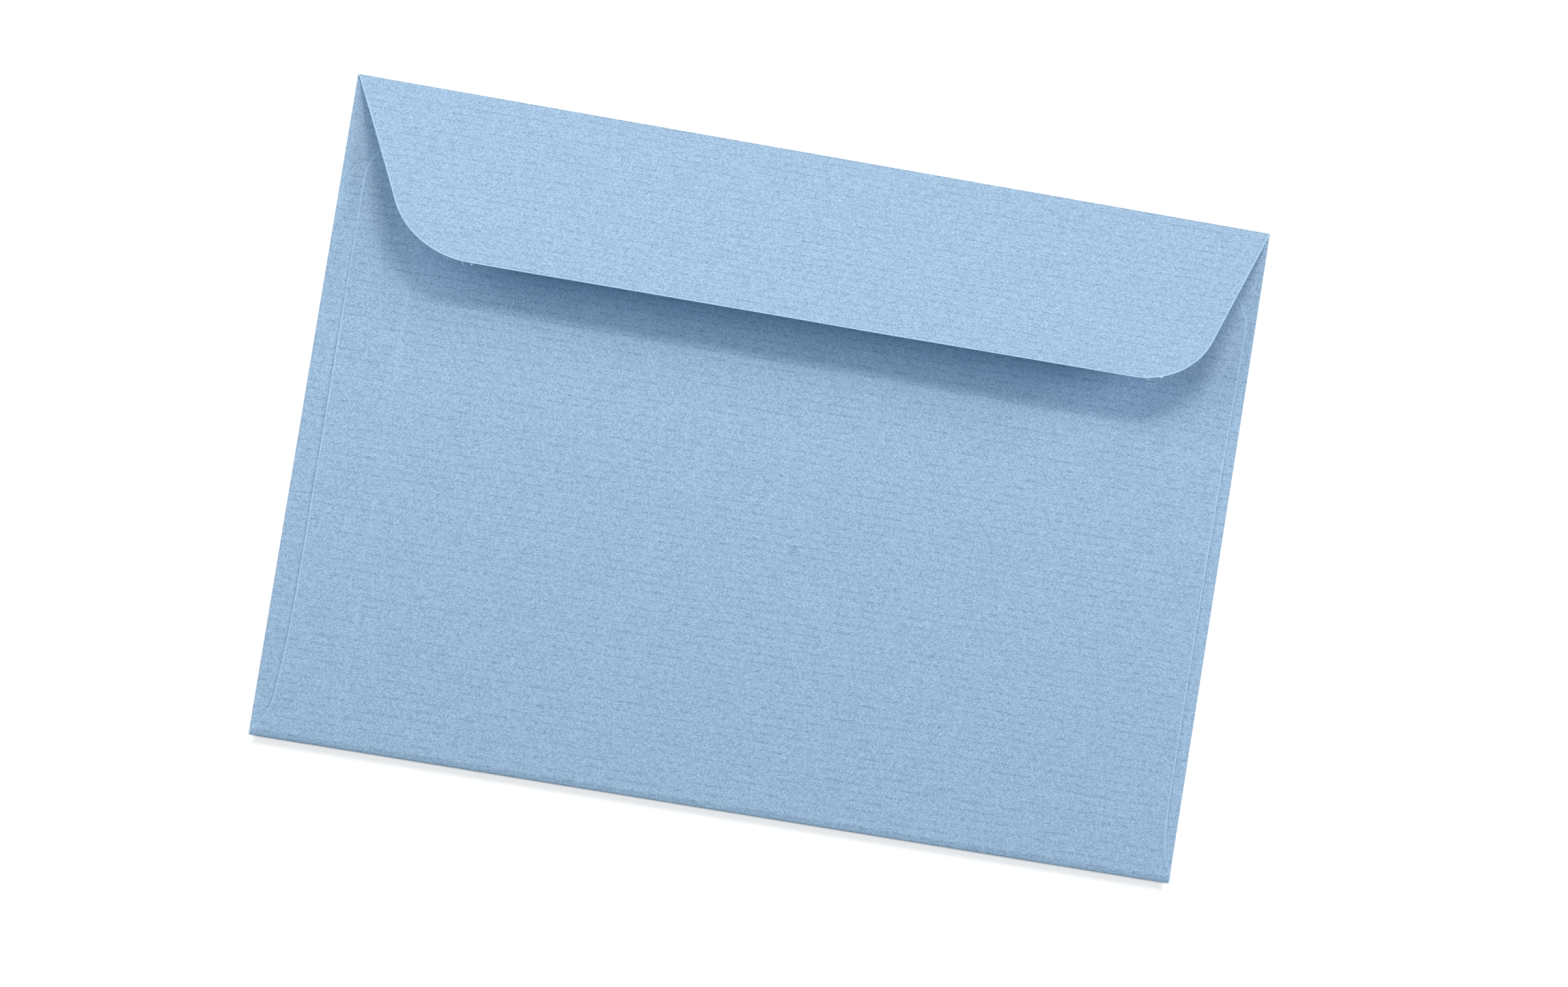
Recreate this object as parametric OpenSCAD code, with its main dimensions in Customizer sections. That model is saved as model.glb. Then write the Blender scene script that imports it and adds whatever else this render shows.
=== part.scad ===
// Wallet envelope for letters and greeting cards, folded from one die-cut sheet of laid paper.
// It lies on its front panel with the seal flap up. X runs along the long edge, Y towards the
// seal flap's fold, Z up. The origin is under the middle of the front panel.

/* [Paper] */
// Thickness of the sheet
paper_t = 0.18; // [0.14:0.01:0.3]
// Inside radius of a crease that folds two layers together
crease_r = 0.12; // [0.08:0.01:0.25]

/* [Front panel] */
// Length of the long edges
env_w = 176; // [120:1:260]
// Length of the short edges
env_h = 125; // [90:1:190]

/* [Back panel] */
// Distance from the seal flap's fold down to the back panel's top edge
back_drop = 11; // [6:0.5:20]
// Width of side flap that shows left of the back panel's waist
back_inset_left = 4.3; // [2:0.05:8]
// Width of side flap that shows right of the back panel's waist
back_inset_right = 2.35; // [2:0.05:8]
// Width of side flap that shows left of the back panel's top
top_inset_left = 4.15; // [1.5:0.05:8]
// Width of side flap that shows right of the back panel's top
top_inset_right = 1.7; // [1.5:0.05:8]
// Radius of the back panel's two top corners
back_corner_r = 8; // [2:0.5:14]
// Height of the waist, where the back panel is narrowest
waist_h = 60; // [45:1:70]
// Radius of the waist
waist_r = 400; // [100:50:600]
// Height at which the back panel's left side starts to lean outward, at the middle of the bend
lean_start_left = 21; // [10:0.5:26]
// Height at which its right side starts to lean outward
lean_start_right = 13; // [10:0.5:26]
// Angle at which the left side leans outward below that height
lean_angle_left = 4; // [2:0.5:10]
// Angle at which the right side leans outward
lean_angle_right = 6; // [2:0.5:10]
// Radius of the bend from the left side's straight into its lean
lean_r_left = 400; // [20:10:600]
// Radius of the bend from the right side's straight into its lean
lean_r_right = 60; // [20:10:600]
// Height of the shoulders, where the sides turn out towards the corners
shoulder_h = 4.6; // [3:0.1:6]
// Radius of the shoulders
shoulder_r = 12; // [3:0.5:14]
// Height at which the left shoulder meets the edge of the envelope
shoulder_end_left = 0.9; // [0.8:0.1:2.4]
// Height at which the right shoulder meets the edge of the envelope
shoulder_end_right = 1.9; // [0.8:0.1:2.4]

/* [Side flaps] */
// Width of each side flap
side_flap_w = 16; // [10:0.5:30]
// Slant of the side flaps' ends away from the corners
side_flap_slant = 40; // [25:1:50]
// Radius of the side flaps' inner corners
side_flap_corner_r = 6; // [1:0.5:10]
// Flat paper left at each corner between the long edge's fold and the end of the side fold
corner_flat = 0.4; // [0.2:0.05:1.5]

/* [Seal flap] */
// Length of the seal flap from its fold to its free edge
flap_len = 36; // [24:0.1:60]
// Slope of the seal flap's side edges, away from square to the fold
flap_taper = 20.8; // [8:0.2:35]
// Radius of the seal flap's two corners
flap_corner_r = 16; // [3:0.5:18]
// Angle at which the open flap stands above the back panel
flap_open = 25; // [15:1:70]
// Angle by which the flap curls back down from its fold to its free edge
flap_curl = 8; // [3:0.5:20]
// Depth by which the crease is pressed in where the open flap leaves it
crease_press = 0.01; // [0.005:0.005:0.03]

/* [Hidden] */

paper_blue = [0.616, 0.737, 0.847];
half_w = env_w / 2;

// Heights of the stacked layers, each from its underside
side_flap_z = paper_t + 2 * crease_r;
back_z = side_flap_z + paper_t;
stack_z = back_z + paper_t;

// Outer radii of the side folds, and of the bottom and top folds that go round the whole stack
side_fold_r = side_flap_z / 2 + paper_t / 2;
end_fold_r = stack_z / 2;
// Half length of the side folds, which stop short of the long edges' folds
side_fold_half = env_h / 2 - end_fold_r - corner_flat;

// The flap leaves its fold steeper than it stands on average, and curls back by the same amount
flap_root = flap_open + flap_curl / 2;
flap_bend_r = flap_len / (flap_curl * PI / 180);
flap_chord = 2 * flap_bend_r * sin(flap_curl / 2);
// The pressed crease runs on past the flap's root by this angle, and the flap starts this far
// before it, so that each ends inside the other
fold_inner_r = end_fold_r - paper_t;
outer_press = acos(1 - crease_press / end_fold_r);
inner_press = acos(1 - crease_press / fold_inner_r);
press_angle = (outer_press + inner_press) / 2;
press_l = (end_fold_r * sin(outer_press) + fold_inner_r * sin(inner_press)) / 2;
// Where the middle of the sheet leaves the top fold
root_y = env_h / 2 - end_fold_r + (end_fold_r - paper_t / 2) * sin(flap_root);
root_z = end_fold_r + (end_fold_r - paper_t / 2) * cos(flap_root);

// Cutters reach this far past what they cut
past = 5;

// Segments in a full circle: outline corners, creases, and wide bends above the given radius
corner_fn = 96;
crease_fn = 64;
bend_fn = 1440;
wide_bend_r = 50;

function heading(from, to) = (to - from) / norm(to - from);

// Length that a corner's arc may take of the edge to its neighbour, half if that one is round too
function room(at, neighbour) =
    norm([neighbour.x, neighbour.y] - at) * (neighbour[2] > 0 ? 0.49 : 0.98);

// Where the two straight edges at a corner stop and its arc begins, then the arc's centre and
// radius. Each corner is [x, y, radius].
function corner_arc(before, corner, after) =
    let (
        at = [corner.x, corner.y],
        back = heading(at, [before.x, before.y]),
        on = heading(at, [after.x, after.y]),
        half = acos(back * on) / 2,
        reach = min(corner[2] / tan(half), room(at, before), room(at, after)),
        r = reach * tan(half),
        middle = (back + on) / norm(back + on)
    )
    [at + back * reach, at + on * reach, at + middle * r / sin(half), r];

function cross2(a, b) = a.x * b.y - a.y * b.x;

// An outline from corners given as [x, y, radius], in anticlockwise order
module rounded_outline(corners) {
    n = len(corners);
    points = [for (c = corners) [c.x, c.y]];
    arcs = [for (i = [0:n - 1])
        corner_arc(corners[(i + n - 1) % n], corners[i], corners[(i + 1) % n])];
    round_at = [for (i = [0:n - 1]) if (corners[i][2] > 0) i];
    outward = [for (i = [0:n - 1])
        cross2(points[i] - points[(i + n - 1) % n], points[(i + 1) % n] - points[i]) > 0];
    difference() {
        union() {
            polygon([for (i = [0:n - 1])
                each corners[i][2] > 0 ? [arcs[i][0], arcs[i][1]] : [points[i]]]);
            for (i = round_at) if (outward[i]) corner_piece(points[i], arcs[i]);
        }
        for (i = round_at) if (!outward[i]) corner_piece(points[i], arcs[i]);
    }
}

// The part of a corner's triangle that lies inside its arc
module corner_piece(at, arc) {
    intersection() {
        polygon([arc[0], at, arc[1]]);
        translate(arc[2]) circle(r = arc[3], $fn = arc[3] > wide_bend_r ? bend_fn : corner_fn);
    }
}

// A slice of a bent sheet, seen from its end: outer radius, and the angles where it starts and stops
module bend_section(outer_r, from, to, fn) {
    reach = 2 * outer_r;
    middle = (from + to) / 2;
    intersection() {
        difference() {
            circle(r = outer_r, $fn = fn);
            circle(r = outer_r - paper_t, $fn = fn);
        }
        polygon([
            [0, 0],
            reach * [cos(from), sin(from)],
            if (to - from > 90) reach * [cos(middle), sin(middle)] * 1.5,
            reach * [cos(to), sin(to)]
        ]);
    }
}

// Stands a section drawn in Y and Z along the X axis, centred, over the given width
module along_x(width) {
    rotate([90, 0, 90])
        translate([0, 0, -width / 2])
            linear_extrude(width)
                children();
}

// Panel that carries the address, with its flat stopping where each fold begins.
// Past the ends of the side folds it reaches the true corners of the envelope.
module front_panel() {
    flat_w = env_w - 2 * side_fold_r;
    flat_h = env_h - 2 * end_fold_r;
    translate([-flat_w / 2, -flat_h / 2, 0]) cube([flat_w, flat_h, paper_t]);
    for (x = [-half_w, half_w - side_fold_r])
        for (y = [-flat_h / 2, side_fold_half])
            translate([x, y, 0]) cube([side_fold_r, corner_flat, paper_t]);
}

// Crease along a short edge, which brings the side flap in over the front panel
module side_fold() {
    translate([half_w - side_fold_r, side_fold_half, side_fold_r])
        rotate([90, 0, 0])
            linear_extrude(2 * side_fold_half)
                bend_section(side_fold_r, -90, 90, crease_fn);
}

// Right side flap, its ends slanted back so that they stay inside the corners
module side_flap() {
    outer_x = half_w - side_fold_r;
    inner_x = half_w - side_flap_w;
    slant = (outer_x - inner_x) * tan(side_flap_slant);
    translate([0, 0, side_flap_z])
        linear_extrude(paper_t)
            rounded_outline([
                [outer_x, side_fold_half, 0],
                [inner_x, side_fold_half - slant, side_flap_corner_r],
                [inner_x, -side_fold_half + slant, side_flap_corner_r],
                [outer_x, -side_fold_half, 0]
            ]);
}

// Crease along the bottom edge, round the side flaps, up to the back panel
module bottom_fold() {
    translate([0, -env_h / 2 + end_fold_r, end_fold_r])
        along_x(env_w)
            bend_section(end_fold_r, 90, 270, crease_fn);
}

// Left side of the back panel as corners, from the bottom up. The right side uses it mirrored.
// The side leans outward towards the bottom, and a little outward from its waist to the top.
function back_side(inset, top_inset, lean_start, lean_angle, lean_r, shoulder_end) =
    let (lean = (lean_start - shoulder_h) * tan(lean_angle))
    [
        [-half_w, end_fold_r, 0],
        [-half_w, shoulder_end, 0],
        [-half_w + inset - lean, shoulder_h, shoulder_r],
        [-half_w + inset, lean_start, lean_r],
        [-half_w + inset, waist_h, waist_r],
        [-half_w + top_inset, env_h - back_drop, back_corner_r]
    ];

// Back panel, glued to the side flaps. Its shoulders widen to the full width at the bottom fold.
module back_panel() {
    left = back_side(back_inset_left, top_inset_left, lean_start_left, lean_angle_left,
        lean_r_left, shoulder_end_left);
    right = back_side(back_inset_right, top_inset_right, lean_start_right, lean_angle_right,
        lean_r_right, shoulder_end_right);
    n = len(left);
    translate([0, -env_h / 2, back_z])
        linear_extrude(paper_t)
            rounded_outline([
                for (corner = right) [-corner.x, corner.y, corner[2]],
                for (i = [1:n]) left[n - i]
            ]);
}

// Crease along the top edge and the seal flap's bent sheet, seen from their end. The two bends
// have their centres on one line through the flap's root, so they run smoothly into each other.
module flap_section() {
    flap_sheet_r = flap_bend_r + paper_t / 2 - crease_press;
    root = [sin(flap_root), cos(flap_root)];
    early = press_l / flap_bend_r * 180 / PI;
    bend_section(end_fold_r, -90, 90 - flap_root + press_angle, crease_fn);
    translate((end_fold_r - paper_t / 2 - flap_bend_r) * root)
        bend_section(flap_sheet_r, 90 - flap_root - early, 90 - flap_root + 2 * flap_curl, bend_fn);
}

// Outline of the seal flap as it was cut, from its fold down to its free edge.
// Its sides run on past the fold, which they meet at the envelope's corners.
module seal_flap_outline() {
    wide = half_w + past * tan(flap_taper);
    narrow = half_w - flap_chord * tan(flap_taper);
    rounded_outline([
        [-wide, -past, 0],
        [wide, -past, 0],
        [narrow, flap_chord, flap_corner_r],
        [-narrow, flap_chord, flap_corner_r]
    ]);
}

// Seal flap with its crease, sprung open, with straight sides and two large round corners
module seal_flap() {
    intersection() {
        translate([0, env_h / 2 - end_fold_r, end_fold_r]) along_x(env_w) flap_section();
        translate([0, root_y, root_z])
            rotate([-flap_open, 0, 0])
                rotate([0, 0, 180])
                    translate([0, 0, -flap_len]) linear_extrude(2 * flap_len) seal_flap_outline();
    }
}

// The whole folded sheet, glued where the back panel lies on the side flaps
module envelope() {
    color(paper_blue) {
        front_panel();
        for (side = [0, 1]) mirror([side, 0, 0]) {
            side_fold();
            side_flap();
        }
        bottom_fold();
        back_panel();
        seal_flap();
    }
}

envelope();
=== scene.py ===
# A light blue wallet envelope, folded from one sheet of laid paper, lies on its address side
# with its seal flap sprung open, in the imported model's own frame. Lengths are in metres and angles
# in degrees, save where a comment gives millimetres.
import math

import bmesh
import bpy
from mathutils import Matrix, Vector
from mathutils.geometry import interpolate_bezier
from mathutils.kdtree import KDTree


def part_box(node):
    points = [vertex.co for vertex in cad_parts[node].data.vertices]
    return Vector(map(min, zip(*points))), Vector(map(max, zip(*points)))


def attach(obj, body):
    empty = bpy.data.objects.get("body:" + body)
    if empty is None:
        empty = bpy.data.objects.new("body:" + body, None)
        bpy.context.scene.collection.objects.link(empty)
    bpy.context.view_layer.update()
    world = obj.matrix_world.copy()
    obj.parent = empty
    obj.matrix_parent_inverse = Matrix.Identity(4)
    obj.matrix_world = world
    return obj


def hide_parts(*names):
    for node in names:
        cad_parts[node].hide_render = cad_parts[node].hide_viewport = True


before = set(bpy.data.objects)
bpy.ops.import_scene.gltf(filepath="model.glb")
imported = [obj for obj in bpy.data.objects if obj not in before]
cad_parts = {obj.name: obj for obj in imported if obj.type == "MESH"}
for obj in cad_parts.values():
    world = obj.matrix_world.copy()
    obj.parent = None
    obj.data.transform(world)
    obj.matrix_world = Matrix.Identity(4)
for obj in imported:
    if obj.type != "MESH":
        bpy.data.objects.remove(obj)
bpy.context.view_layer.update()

# The folded sheet. One die-cut blank of laid writing paper makes the front panel, two narrow
# side flaps, the back panel and the seal flap. It was folded by machine and glued where the back
# panel lies on the side flaps. Here its middle surface is laid out first and thickened last.
MM = 0.001
half_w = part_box("envelope")[1].x
half_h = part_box("envelope")[1].y

# Paper, the gap that the side folds hold open below the side flaps, and the height of the paper's
# middle in each layer of the stack
paper_t = 0.18 * MM
fold_gap = 0.24 * MM
front_z = paper_t / 2
side_z = front_z + paper_t + fold_gap
back_z = side_z + paper_t

# Mesh spacing on the flats, the least distance between two levels, the steps in a crease and in
# an outline's round corner, and the share of an edge that its arcs may take up
cell = 2 * MM
least_gap = 0.02 * MM
crease_steps = 12
corner_steps = 16
edge_share = 0.98

sheet = bmesh.new()
blank_place = sheet.verts.layers.float_vector.new("blank")
crease_away = sheet.verts.layers.float.new("crease")
no_crease = 10 * MM


def lay(rows):
    """Adds a grid of quads. A point is its place, its place on the flat blank, and its distance
    from the nearest side crease."""
    made = []
    for row in rows:
        made.append([])
        for place, blank, away in row:
            vert = sheet.verts.new(place)
            vert[blank_place] = (blank[0] / MM, blank[1] / MM, 0)
            vert[crease_away] = away / MM
            made[-1].append(vert)
    for first, second in zip(made, made[1:]):
        for quad in zip(first, first[1:], second[1:], second):
            sheet.faces.new(quad)


def arc(centre, radius, start, end, steps):
    """Points on an arc round centre, from one angle in degrees to another."""
    angles = [math.radians(start + (end - start) * i / steps) for i in range(steps + 1)]
    return [centre + radius * Vector((math.cos(a), math.sin(a))) for a in angles]


def rounded(corners):
    """A path through corners of (x, y, radius), with an arc at each but the first and the last."""
    path = [Vector(corners[0][:2])]
    for before, (x, y, radius), after in zip(corners, corners[1:], corners[2:]):
        at = Vector((x, y))
        back = Vector(before[:2]) - at
        on = Vector(after[:2]) - at
        half = back.angle(on) / 2
        # An arc leaves room for the arc at the other end of its edge
        back_room = back.length * edge_share / (2 if before[2] else 1)
        on_room = on.length * edge_share / (2 if after[2] else 1)
        reach = min(radius / math.tan(half), back_room, on_room)
        back.normalize()
        on.normalize()
        centre = at + (back + on).normalized() * reach / math.cos(half)
        arm = at + back * reach - centre
        turn = -arm.angle_signed(at + on * reach - centre)
        for i in range(corner_steps + 1):
            path.append(centre + Matrix.Rotation(turn * i / corner_steps, 2) @ arm)
    path.append(Vector(corners[-1][:2]))
    return path


def across(path, level):
    """The path's x where its y reaches level."""
    for a, b in zip(path, path[1:]):
        if a.y <= level <= b.y and b.y > a.y:
            return a.x + (b.x - a.x) * (level - a.y) / (b.y - a.y)
    return path[0].x if level < path[0].y else path[-1].x


def levels(start, end, *paths):
    """Levels from start to end, a cell apart or closer, with the points of the paths among them."""
    steps = math.ceil((end - start) / cell)
    wanted = [start + (end - start) * i / steps for i in range(steps + 1)]
    wanted += [point.y for path in paths for point in path if start < point.y < end]
    kept = [start]
    for level in sorted(wanted):
        if level - kept[-1] > least_gap:
            kept.append(level)
    kept[-1] = end
    return kept


# Front panel, which has the address side underneath. Only the field between its side folds is
# laid here: its borders along the long edges belong to the strips of the other two folds.
border_w = 0.8 * MM
side_fold_r = (side_z - front_z) / 2
top_fold_r = (back_z - front_z) / 2
field_x = half_w - paper_t / 2 - side_fold_r
field_y = half_h - paper_t / 2 - top_fold_r - border_w
field_columns = levels(-field_x, field_x)
field_rows = levels(-field_y, field_y)
lay([
    [(Vector((x, y, front_z)), (x, y), field_x - abs(x)) for x in field_columns]
    for y in field_rows
])

# Side flaps, each turned in over the front panel round its fold, with glue for the back panel on
# its upper face. Their ends slant back, which keeps them clear of the long folds.
side_flap_w = 16 * MM
side_flap_slant = 40
side_flap_corner_r = 6 * MM
depth = side_flap_w - (half_w - field_x)
slant = depth * math.tan(math.radians(side_flap_slant))
flap_end = rounded([
    (field_y, 0, 0),
    (field_y - slant, depth, side_flap_corner_r),
    (0, depth, 0),
])[:-1]
side_fold_centre = Vector((field_x, front_z + side_fold_r))
side_path = arc(side_fold_centre, side_fold_r, -90, 90, crease_steps)
side_ends = [field_y] * len(side_path)
for inward in levels(0, depth, flap_end)[1:]:
    side_path.append(Vector((field_x - inward, side_z)))
    side_ends.append(across(flap_end, inward))
side_crease = math.pi * side_fold_r / 2
for side in (-1, 1):
    grid = []
    along = 0
    for i, (point, end) in enumerate(zip(side_path, side_ends)):
        along += (point - side_path[i - 1]).length if i else 0
        grid.append([
            (
                Vector((side * point.x, y * end / field_y, point.y)),
                (side * (field_x + along), y * end / field_y),
                abs(along - side_crease),
            )
            for y in field_rows
        ])
    lay(grid)


def lay_strip(stations, toward, lift):
    """Lays a strip across the whole envelope, from the front panel's field on. A station is a point
    of its section with its left and right edge, and toward is the side of the field it starts at.
    lift gives the height that a place stands above the station's point."""
    columns = [-half_w, *field_columns, half_w]
    grid = []
    along = 0
    for i, (point, left, right) in enumerate(stations):
        along += (point - stations[i - 1][0]).length if i else 0
        grid.append([])
        for column in columns:
            x = left + (right - left) * (column + half_w) / (2 * half_w)
            place = Vector((x, point.x, point.y + lift(x, along, left, right)))
            grid[-1].append((place, (x, toward * (field_y + along)), no_crease))
    lay(grid)


# Back panel, with the bottom fold. The fold is pressed sharper than the stack is high, so the
# panel climbs from it at a slant. Heights are from the bottom edge, insets from the short edges.
bottom_fold_r = 0.16 * MM
climb_angle = 21
climb_ease_r = 2.2 * MM
climb_steps = 4
back_top = 2 * half_h - 11 * MM
back_corner_r = 8 * MM
waist_h = 60 * MM
waist_r = 400 * MM
shoulder_h = 4.6 * MM
shoulder_r = 12 * MM

# Outside the line of glue its cut sides spring up a little, between two heights
edge_lift = 0.15 * MM
edge_lift_w = 2.5 * MM
edge_lift_from = 2 * MM
edge_lift_to = 98 * MM
edge_lift_ease = 5 * MM


def back_side(inset, top_inset, lean_start, lean_angle, lean_r, shoulder_end):
    """One side of the back panel, as points of (distance from the middle, height). It leans outward
    towards the bottom, and a little outward from its waist to the top."""
    lean = (lean_start - shoulder_h) * math.tan(math.radians(lean_angle))
    path = rounded([
        (half_w, shoulder_end, 0),
        (half_w - inset + lean, shoulder_h, shoulder_r),
        (half_w - inset, lean_start, lean_r),
        (half_w - inset, waist_h, waist_r),
        (half_w - top_inset, back_top, back_corner_r),
        (0, back_top, 0),
    ])
    return path[:-1]


left_side = back_side(
    inset=4.3 * MM, top_inset=4.15 * MM, lean_start=21 * MM, lean_angle=4, lean_r=400 * MM,
    shoulder_end=0.9 * MM,
)
right_side = back_side(
    inset=2.35 * MM, top_inset=1.7 * MM, lean_start=13 * MM, lean_angle=6, lean_r=60 * MM,
    shoulder_end=1.9 * MM,
)
bottom_fold = Vector((-half_h + paper_t / 2 + bottom_fold_r, front_z + bottom_fold_r))
slope = Vector((math.cos(math.radians(climb_angle)), math.sin(math.radians(climb_angle))))
upright = Vector((-slope.y, slope.x))
climb_start = bottom_fold + bottom_fold_r * upright
ease_start_z = back_z - climb_ease_r * (1 - slope.x)
ease_start = climb_start + slope * (ease_start_z - climb_start.y) / slope.y
ease_centre = ease_start - climb_ease_r * upright
border = [Vector((-field_y, front_z))]
fold = arc(bottom_fold, bottom_fold_r, 270, 90 + climb_angle, crease_steps)
climb = arc(ease_centre, climb_ease_r, 90 + climb_angle, 90, climb_steps)
stations = [(point, -half_w, half_w) for point in border + fold]
heights = [point.x + half_h for point in climb]
heights += levels(heights[-1], back_top, left_side, right_side)[1:]
for i, height in enumerate(heights):
    point = climb[i] if i < len(climb) else Vector((height - half_h, back_z))
    stations.append((point, -across(left_side, height), across(right_side, height)))
climbed = border[0].x - fold[0].x + bottom_fold_r * math.radians(180 - climb_angle)


def sprung(x, along, left, right):
    """How far the back panel's cut sides stand off the side flaps, outside the line of glue."""
    near = min(x - left, right - x) / edge_lift_w
    up = along - climbed
    grown = min(up - edge_lift_from, edge_lift_to - up) / edge_lift_ease
    return edge_lift * max(1 - near, 0) ** 2 * min(max(grown, 0), 1)


lay_strip(stations, -1, sprung)

# Seal flap, with the top fold. It leaves its crease steeply and curls back a little on its way to
# the free edge, which has a few low waves: place across, half width and height of each.
flap_len = 36 * MM
flap_taper = 20.8
flap_corner_r = 16 * MM
flap_root_angle = 29
flap_curl = 8
flap_waves = (
    (-68 * MM, 6 * MM, 0.3 * MM),
    (-54 * MM, 7 * MM, -0.3 * MM),
    (14 * MM, 9 * MM, -0.5 * MM),
    (58 * MM, 22 * MM, 0.5 * MM),
)


def flap_side(relief):
    """One side of the seal flap, as points of (distance from the middle, distance out from the
    crease). It is cut back by the relief, so that it clears the corner of the fold."""
    narrow = half_w - relief - flap_len * math.tan(math.radians(flap_taper))
    path = rounded([
        (half_w, 0, 0),
        (half_w - relief, relief, relief),
        (narrow, flap_len, flap_corner_r),
        (0, flap_len, 0),
    ])
    return path[:-1]


flap_left = flap_side(relief=0.27 * MM)
flap_right = flap_side(relief=0.1 * MM)
top_fold = Vector((half_h - paper_t / 2 - top_fold_r, front_z + top_fold_r))
border = [Vector((field_y, front_z))]
fold = arc(top_fold, top_fold_r, -90, 90 - flap_root_angle, crease_steps)
flap_bend_r = flap_len / math.radians(flap_curl)
bend_centre = fold[-1] - flap_bend_r * (fold[-1] - top_fold).normalized()
stations = [(point, -half_w, half_w) for point in border + fold]
flap_root = fold[0].x - border[0].x + top_fold_r * math.radians(180 - flap_root_angle)


def flap_section(out):
    """The seal flap's section, at a distance out from its crease along the paper."""
    turned = math.radians(90 - flap_root_angle) + out / flap_bend_r
    return bend_centre + flap_bend_r * Vector((math.cos(turned), math.sin(turned)))


def wave(x, along, left, right):
    """Height that the waves add to the seal flap, which grow from its root to its free edge."""
    out = max(along - flap_root, 0) / flap_len
    return out**2 * sum(high * math.exp(-(((x - at) / wide) ** 2)) for at, wide, high in flap_waves)


for out in levels(0, flap_len, flap_left, flap_right)[1:]:
    stations.append((flap_section(out), -across(flap_left, out), across(flap_right, out)))
lay_strip(stations, 1, wave)

# The panels are joined along their creases, and each point learns how far it is from a cut edge.
# That is measured on the blank, in millimetres.
weld_gap = 0.002 * MM
cut_step = 0.1
bmesh.ops.remove_doubles(sheet, verts=sheet.verts, dist=weld_gap)
cut_away = sheet.verts.layers.float.new("cut")
cut_places = []
for edge in sheet.edges:
    if edge.is_boundary:
        a, b = (vert[blank_place] for vert in edge.verts)
        steps = math.ceil((b - a).length / cut_step)
        cut_places += [a.lerp(b, i / steps) for i in range(steps + 1)]
cuts = KDTree(len(cut_places))
for i, place in enumerate(cut_places):
    cuts.insert(place, i)
cuts.balance()
for vert in sheet.verts:
    vert[cut_away] = cuts.find(vert[blank_place])[2]
bmesh.ops.recalc_face_normals(sheet, faces=sheet.faces)
for face in sheet.faces:
    face.smooth = True

sharp_angle = 50
envelope = bpy.data.objects.new("folded_sheet", bpy.data.meshes.new("folded_sheet"))
bpy.context.scene.collection.objects.link(envelope)
sheet.to_mesh(envelope.data)
sheet.free()
thickness = envelope.modifiers.new("paper thickness", "SOLIDIFY")
thickness.thickness = paper_t
thickness.offset = 0
thickness.use_even_offset = True
thickness.use_quality_normals = True
graph = bpy.context.evaluated_depsgraph_get()
thick = bpy.data.meshes.new_from_object(envelope.evaluated_get(graph))
envelope.modifiers.clear()
envelope.data = thick
thick.set_sharp_from_angle(angle=math.radians(sharp_angle))


def linear(hex_colour):
    """A colour written as sRGB hex, in the linear values that a shader takes."""
    parts = [int(hex_colour[i:i + 2], 16) / 255 for i in (1, 3, 5)]
    return [*(c / 12.92 if c < 0.04045 else ((c + 0.055) / 1.055) ** 2.4 for c in parts), 1]


def add(tree, kind, inputs, **settings):
    """Adds a shader node with its settings. Each input is set to a value, or linked to another node
    or to one of its sockets."""
    node = tree.nodes.new("ShaderNode" + kind)
    for name, value in settings.items():
        setattr(node, name, value)
    for name, value in inputs.items():
        if isinstance(value, bpy.types.Node):
            value = value.outputs[0]
        if isinstance(value, bpy.types.NodeSocket):
            tree.links.new(value, node.inputs[name])
        else:
            node.inputs[name].default_value = value
    return node


# Laid writing paper, dyed in the pulp. The wires of the mould leave ribs along the envelope that
# show as broken darker lines, and the pulp between them has a short grain along the same way.
# It is matt and has no coating, so it gives no highlight. Sizes are in millimetres on the blank.
pulp_dark = "#7D9DC1"
pulp_pale = "#B9D9F4"
paper = bpy.data.materials.new("laid writing paper")
paper.use_nodes = True
tree = paper.node_tree
tree.nodes.clear()
blank = add(tree, "Attribute", {}, attribute_name="blank").outputs["Vector"]

# Pulp: clots of fibre from coarse to fine, each kind with its length, width and contrast. A shift
# keeps their patterns from repeating each other. Tone runs from dark at 0 to pale at 1.
clots = (
    (9, 6, 0.055),
    (2.4, 1.3, 0.035),
    (0.265, 0.16, 2.1),
)
clot_shift = 7.3
tone = 0.58
for i, (length, width, contrast) in enumerate(clots):
    place = add(tree, "VectorMath", {0: blank, 1: (1 / length, 1 / width, 1)}, operation="MULTIPLY")
    place = add(tree, "VectorMath", {0: place, 1: (0, 0, clot_shift * i)}, operation="ADD")
    clot = add(tree, "TexNoise", {"Vector": place, "Scale": 1, "Detail": 1, "Roughness": 0.5})
    level = add(tree, "Math", {0: clot, 1: -0.5}, operation="ADD")
    tone = add(tree, "Math", {0: level, 1: contrast, 2: tone}, operation="MULTIPLY_ADD")

# Ribs: the wires wander, because they were never quite straight, and the pulp filled them
# unevenly, which breaks each rib into dashes. A rib fades out either side of its full middle. Its
# darker tone is partly the paper's own and partly painted shade in the groove that the wire left.
rib_pitch = 1.62
rib_full = 0.05
rib_fades = 0.34
rib_darker = -0.23
wander_length = 11
wander_width = 5
wander_by = 0.55
dash_length = 1.7
dash_width = 0.8
dash_starts = 0.38
dash_full = 0.62
stretch = (1 / wander_length, 1 / wander_width, 1)
place = add(tree, "VectorMath", {0: blank, 1: stretch}, operation="MULTIPLY")
wander = add(tree, "TexNoise", {"Vector": place, "Scale": 1, "Detail": 1})
along_blank, across_blank, _ = add(tree, "SeparateXYZ", {0: blank}).outputs
across_ribs = {0: wander, 1: wander_by, 2: across_blank}
across_ribs = add(tree, "Math", across_ribs, operation="MULTIPLY_ADD")
off_rib = add(tree, "Math", {0: across_ribs, 1: rib_pitch / 2}, operation="PINGPONG")
ramp = {"Value": off_rib, "From Min": rib_fades, "From Max": rib_full}
rib = add(tree, "MapRange", ramp, interpolation_type="SMOOTHSTEP")
stretch = (1 / dash_length, 1 / dash_width, 1)
place = add(tree, "VectorMath", {0: blank, 1: stretch}, operation="MULTIPLY")
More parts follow.
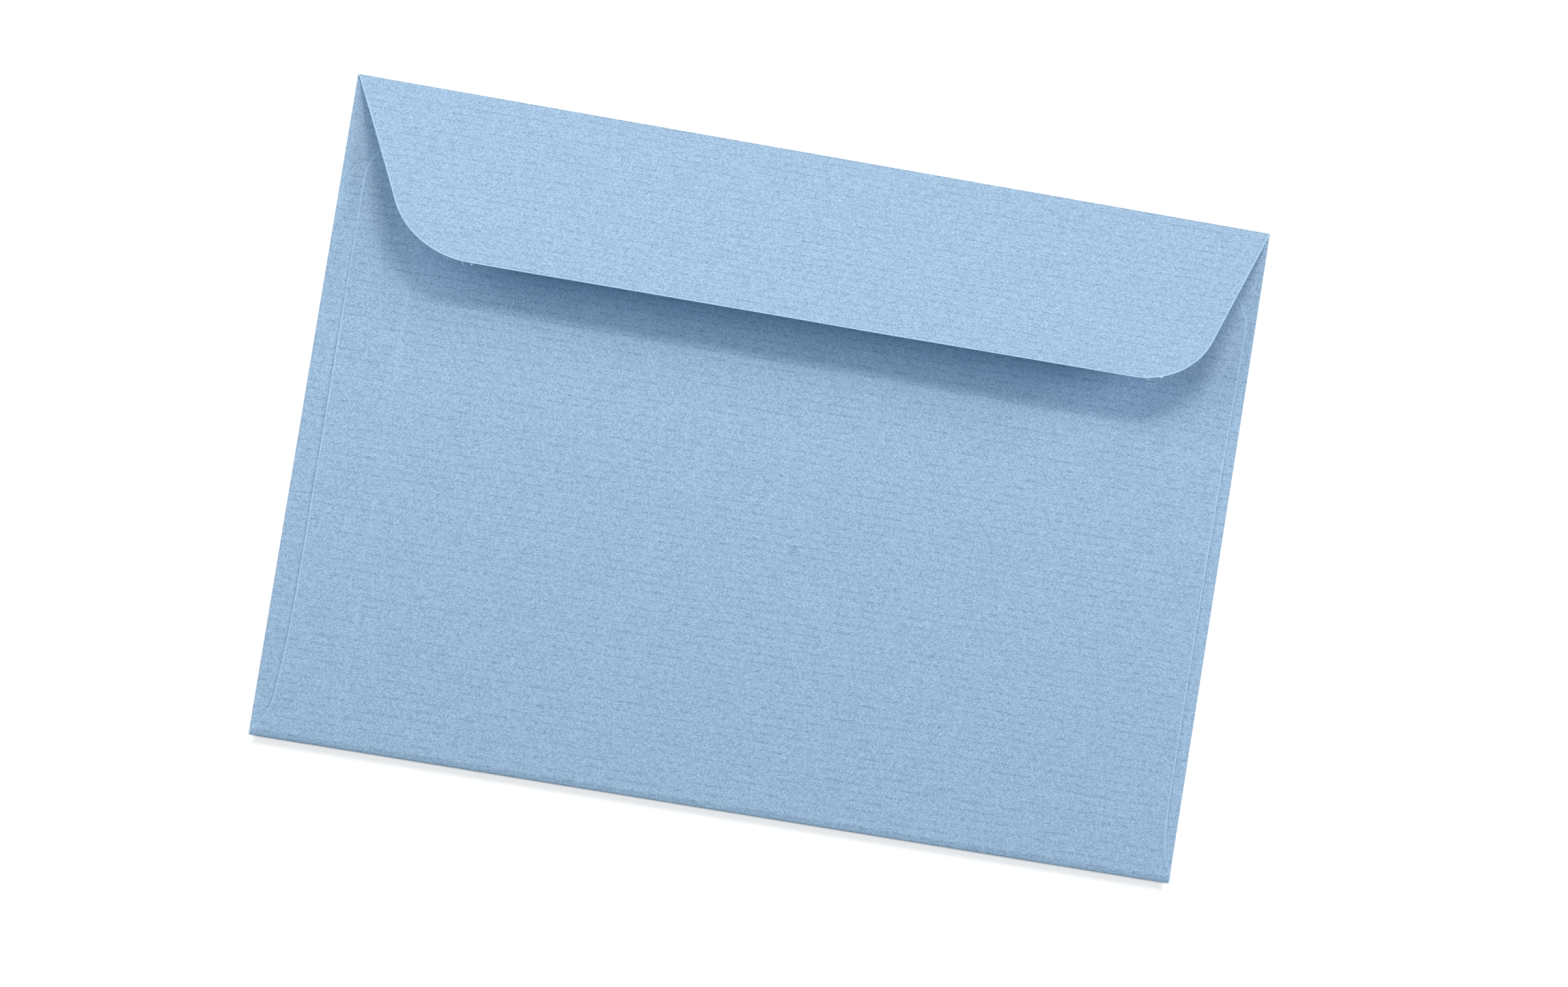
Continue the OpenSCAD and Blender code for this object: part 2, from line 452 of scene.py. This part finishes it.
dash = add(tree, "TexNoise", {"Vector": place, "Scale": 1, "Detail": 2})
ramp = {"Value": dash, "From Min": dash_starts, "From Max": dash_full}
dash = add(tree, "MapRange", ramp, interpolation_type="SMOOTHSTEP")
rib = add(tree, "Math", {0: rib, 1: dash}, operation="MULTIPLY")
tone = add(tree, "Math", {0: rib, 1: rib_darker, 2: tone}, operation="MULTIPLY_ADD")

# One darker speck in the back panel: its place on the blank, how far it reaches, how far it keeps
# its full tone, and that tone
speck_place = (7.2, -(half_h / MM + 50.4), 0)
speck_reach = 1.4
speck_full = 0.5
speck_darker = -0.19
off_speck = add(tree, "VectorMath", {0: blank, 1: speck_place}, operation="DISTANCE")
off_speck = off_speck.outputs["Value"]
ramp = {"Value": off_speck, "From Min": speck_reach, "From Max": speck_full, "To Max": speck_darker}
speck = add(tree, "MapRange", ramp, interpolation_type="SMOOTHSTEP")
tone = add(tree, "Math", {0: tone, 1: speck}, operation="ADD")

# The paper is made paler along the cut edges: partly a painted highlight where the cut edge catches
# the light, partly paler fibre where the die pressed it. It is also a little paler towards the side
# creases. For each: how far that reaches, where it is full, and how pale it is.
for name, reach, full, paler in (("cut", 0.32, 0.12, 0.7), ("crease", 2, 0.3, 0.05)):
    away = add(tree, "Attribute", {}, attribute_name=name).outputs["Fac"]
    ramp = {"Value": away, "From Min": reach, "From Max": full, "To Max": paler}
    pale_band = add(tree, "MapRange", ramp, interpolation_type="SMOOTHSTEP")
    tone = add(tree, "Math", {0: tone, 1: pale_band}, operation="ADD")

# The left side flap's edge presses a faint pale line into the back panel over it
line_place = (side_flap_w - half_w) / MM
line_reach = 1
line_paler = 0.06
on_back = add(tree, "Math", {0: across_blank, 1: -half_h / MM}, operation="LESS_THAN")
off_line = add(tree, "Math", {0: along_blank, 1: line_place}, operation="SUBTRACT")
off_line = add(tree, "Math", {0: off_line}, operation="ABSOLUTE")
ramp = {"Value": off_line, "From Min": line_reach, "From Max": 0, "To Max": line_paler}
pale_band = add(tree, "MapRange", ramp, interpolation_type="SMOOTHSTEP")
tone = add(tree, "Math", {0: pale_band, 1: on_back, 2: tone}, operation="MULTIPLY_ADD")

# The surface has a fine tooth, which follows the pulp
tooth_depth = 0.03 * MM
colour = add(tree, "Mix", {0: tone, 6: linear(pulp_dark), 7: linear(pulp_pale)}, data_type="RGBA")
tooth = add(tree, "Bump", {"Height": tone, "Distance": tooth_depth, "Strength": 1})
finish = {"Base Color": colour.outputs[2], "Roughness": 0.9, "IOR": 1.5, "Normal": tooth}
bsdf = add(tree, "BsdfPrincipled", finish)
add(tree, "OutputMaterial", {"Surface": bsdf})
thick.materials.clear()
thick.materials.append(paper)
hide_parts("envelope")
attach(envelope, "root")

# Loose fibres. Where the die tore the sheet, a few cotton fibres hang out of the seal flap's free
# edge. Near its right corner some are matted into a small white nub, and a knot of them is left
# in the flap's face.
strand_sides = 8
strand_points = 16
strand_taper = 0.4

# Each strand has its radius, its first end, two points that bend it, and its last end. A point is
# its place across, its distance past the free edge and its height over the paper, in millimetres.
strands = (
    (0.13, ((68.4, 0, 0.05), (68.6, 0.1, 0.1), (68.8, 0.12, 0.08), (69, 0.05, 0.02))),
    (0.05, ((65.5, -0.05, 0), (66.2, 0.08, 0.05), (66.5, 0.3, 0), (66.6, 0.6, -0.1))),
    (0.03, ((66.6, 0.6, -0.1), (66.65, 0.9, -0.2), (66.75, 1.15, -0.3), (67, 1.35, -0.4))),
    (0.05, ((-63.95, -0.1, 0), (-63.93, 0.3, 0), (-63.9, 0.65, -0.1), (-63.55, 0.8, -0.2))),
    (0.05, ((-62.1, -0.1, 0), (-62.15, 0.1, 0), (-62.25, 0.35, 0), (-62.45, 0.65, -0.1))),
    (0.2, ((48.2, -23.47, 0), (48.35, -23.5, 0.06), (48.5, -23.5, 0.06), (48.65, -23.45, 0))),
)
free_edge = [Vector((point.y, point.x)) for point in reversed(flap_right)]
fluff = bmesh.new()
for radius, places in strands:
    knots = []
    for x, past, over in places:
        out = across(free_edge, abs(x * MM))
        at = flap_section(out + past * MM)
        high = wave(x * MM, flap_root + out + past * MM, 0, 0)
        knots.append(Vector((x * MM, at.x, at.y + high + over * MM)))
    middle = interpolate_bezier(*knots, strand_points)
    rings = []
    for i, at in enumerate(middle):
        ahead = (middle[min(i + 1, strand_points - 1)] - middle[max(i - 1, 0)]).normalized()
        up = ahead.cross(Vector((0, 0, 1)).cross(ahead)).normalized()
        swell = math.sin(math.pi * (i + 1) / (strand_points + 1)) ** strand_taper
        rings.append([])
        for k in range(strand_sides):
            turn = Matrix.Rotation(2 * math.pi * k / strand_sides, 3, ahead)
            rings[-1].append(fluff.verts.new(at + turn @ up * (radius * MM * swell)))
    for first, second in zip(rings, rings[1:]):
        for k in range(strand_sides):
            fluff.faces.new((first[k - 1], first[k], second[k], second[k - 1]))
    fluff.faces.new(rings[0])
    fluff.faces.new(reversed(rings[-1]))
bmesh.ops.recalc_face_normals(fluff, faces=fluff.faces)
for face in fluff.faces:
    face.smooth = True
fibres = bpy.data.objects.new("loose_fibres", bpy.data.meshes.new("loose_fibres"))
bpy.context.scene.collection.objects.link(fibres)
fluff.to_mesh(fibres.data)
fluff.free()

# Undyed cotton, which stays white where the pulp around it took the dye
cotton = bpy.data.materials.new("undyed cotton fibre")
cotton.use_nodes = True
tree = cotton.node_tree
tree.nodes.clear()
finish = {"Base Color": linear("#DCEEFF"), "Roughness": 0.8, "IOR": 1.53}
bsdf = add(tree, "BsdfPrincipled", finish)
add(tree, "OutputMaterial", {"Surface": bsdf})
fibres.data.materials.append(cotton)
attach(fibres, "root")

# Floor: a wide white table top, which keeps the envelope's shadow. It glows for the camera, so that
# it shows as plain white, except round a box under the envelope's lower half. The box stays inside
# the envelope's sides, so the glow is held off only in a band below the bottom edge: that band is
# painted shade, a soft shadow wider than the one the lamps cast there.
floor_half = 2.0
floor_drop = 0.01 * MM
floor_corners = ((-1, -1), (1, -1), (1, 1), (-1, 1))
painted_shade_w = 2.6 * MM
glow_from = 0.8 * MM
glow_strength = 0.34
floor = bpy.data.objects.new("floor", bpy.data.meshes.new("floor"))
bpy.context.scene.collection.objects.link(floor)
floor.data.from_pydata(
    [(x * floor_half, y * floor_half, -floor_drop) for x, y in floor_corners],
    [], [(0, 1, 2, 3)],
)
white = bpy.data.materials.new("white table top")
white.use_nodes = True
tree = white.node_tree
tree.nodes.clear()
seen = add(tree, "LightPath", {}).outputs["Is Camera Ray"]
place = add(tree, "NewGeometry", {}).outputs["Position"]
place = add(tree, "VectorMath", {0: place, 1: (0, half_h / 2, 0)}, operation="ADD")
place = add(tree, "VectorMath", {0: place}, operation="ABSOLUTE")
box_half = (half_w - painted_shade_w, half_h / 2, 0)
place = add(tree, "VectorMath", {0: place, 1: box_half}, operation="SUBTRACT")
past_x, past_y, _ = add(tree, "SeparateXYZ", {0: place}).outputs
away = add(tree, "Math", {0: past_x, 1: past_y}, operation="MAXIMUM")
ramp = {"Value": away, "From Min": glow_from, "From Max": painted_shade_w, "To Max": glow_strength}
glow = add(tree, "MapRange", ramp, interpolation_type="SMOOTHSTEP")
glow = add(tree, "Math", {0: seen, 1: glow}, operation="MULTIPLY")
glow = add(tree, "Emission", {"Color": (1, 1, 1, 1), "Strength": glow})
top = add(tree, "BsdfPrincipled", {"Base Color": linear("#F6F6F6"), "Roughness": 0.9})
both = add(tree, "AddShader", {0: top, 1: glow})
add(tree, "OutputMaterial", {"Surface": both})
floor.data.materials.append(white)

# Light: a small lamp beyond the fold of the seal flap, soft boxes on either side, and the light
# of a pale room, which the camera sees as white. The colours are linear and may pass 1.
world = bpy.data.worlds.new("pale room")
bpy.context.scene.world = world
world.use_nodes = True
tree = world.node_tree
tree.nodes.clear()
seen = add(tree, "LightPath", {}).outputs["Is Camera Ray"]
room = add(tree, "Background", {"Color": (0.5, 1.05, 1.4, 1), "Strength": 0.03})
backdrop = add(tree, "Background", {"Color": (1, 1, 1, 1), "Strength": 1})
mixed = add(tree, "MixShader", {0: seen, 1: room, 2: backdrop})
add(tree, "OutputWorld", {"Surface": mixed})

# All the lamps hang level at one height. Each has its place, its size and its power in watts.
lamp_height = 0.5
for name, place, size, power, colour in (
    ("lamp beyond the fold", (-0.022, 0.252), (0.18, 0.06), 0.9, (1.15, 0.99, 0.88)),
    ("strip behind it", (-0.012, 0.506), (0.07, 0.48), 0.67, (1.04, 1, 0.98)),
    ("left soft box", (-0.603, 0.173), (0.64, 0.45), 3.3, (1.03, 1, 0.98)),
    ("small left lamp", (-0.264, -0.021), (0.18, 0.09), 0.18, (0.4, 1, 1.3)),
    ("right soft box", (0.273, -0.08), (0.09, 0.44), 1.02, (0.92, 1, 1.06)),
    ("far right lamp", (0.865, 0.402), (0.23, 0.54), 5.6, (1, 1, 1)),
):
    light = bpy.data.lights.new(name, "AREA")
    light.shape = "RECTANGLE"
    light.size, light.size_y = size
    light.energy = power
    light.color = colour
    lamp = bpy.data.objects.new(name, light)
    bpy.context.scene.collection.objects.link(lamp)
    lamp.location = (*place, lamp_height)

# Camera: almost straight above, a little to the left, as the photograph was taken. Its turn is
# that of the frame's lower edge from the X axis, seen from above.
camera_place = Vector((-129.86, -71.55, 1122.58)) * MM
camera_target = Vector((3.83, -1.78, 0)) * MM
camera_turn = 9.205
lens = 138.05
back = (camera_place - camera_target).normalized()
plan = Vector((math.cos(math.radians(camera_turn)), math.sin(math.radians(camera_turn)), 0))
right = Vector((plan.x, plan.y, -(back.x * plan.x + back.y * plan.y) / back.z)).normalized()
camera = bpy.data.objects.new("camera", bpy.data.cameras.new("camera"))
bpy.context.scene.collection.objects.link(camera)
camera.data.lens = lens
turn = Matrix((right, back.cross(right), back)).transposed()
camera.matrix_world = Matrix.Translation(camera_place) @ turn.to_4x4()
bpy.context.scene.camera = camera
bpy.context.scene.view_settings.view_transform = "Standard"
